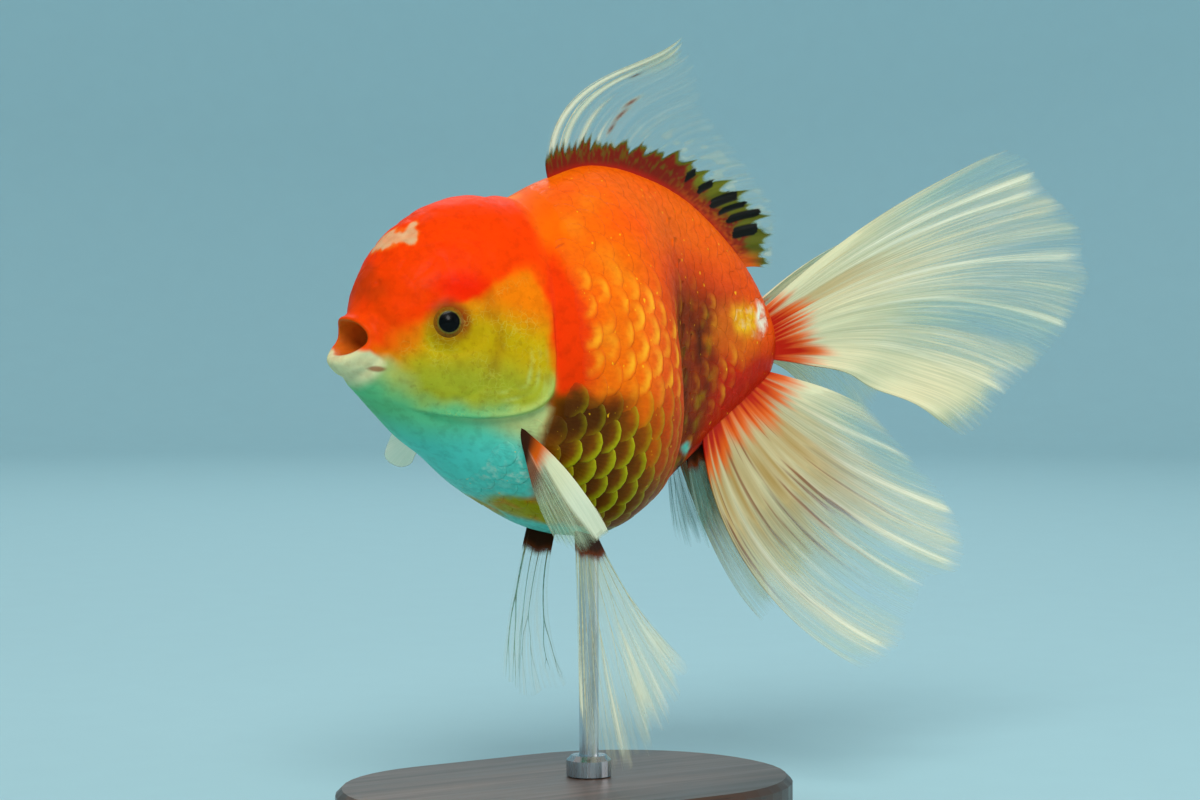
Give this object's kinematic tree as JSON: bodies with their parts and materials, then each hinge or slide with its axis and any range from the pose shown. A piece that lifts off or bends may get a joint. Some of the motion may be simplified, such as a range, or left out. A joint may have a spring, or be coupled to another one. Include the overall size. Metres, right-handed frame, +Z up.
{
  "type": "fancy goldfish model",
  "caption": "Still life-size oranda goldfish with an open mouth, a high dorsal fin and a flowing double tail, held over a flat oblong base by a thin rod.",
  "frame": {"origin": "middle of the flat underside of the stand's base", "axes": "+Z up, the fish's head towards -X, its left side towards -Y"},
  "size_m": [0.2203, 0.0927, 0.1905],
  "materials": {
    "skin": "orange-red scaled skin, wet sheen",
    "gill_cover": "golden olive gill cover, smooth",
    "lip": "cream lip, smooth and moist",
    "eye": "black pupil in a thin gold ring, glossy",
    "dorsal_fin": "dark red and olive fin with black marks",
    "fin": "cream translucent fin with fine rays",
    "stand_base": "dark stained wood, satin",
    "stand_rod": "satin steel"
  },
  "bodies": {
    "root": {"head": "skin", "gill_cover_left": "gill_cover", "gill_cover_right": "gill_cover", "lower_jaw": "lip", "eye_left": "eye", "eye_right": "eye", "trunk": "skin", "tail_stalk": "skin", "dorsal_fin": "dorsal_fin", "pectoral_fin_left": "fin", "pectoral_fin_right": "fin", "pelvic_fin_left": "fin", "pelvic_fin_right": "fin", "anal_fin_left": "fin", "anal_fin_right": "fin", "tail_fin_upper_left": "fin", "tail_fin_upper_right": "fin", "tail_fin_lower_left": "fin", "tail_fin_lower_right": "fin", "stand_base": "stand_base", "stand_rod": "stand_rod"}
  },
  "joints": []
}
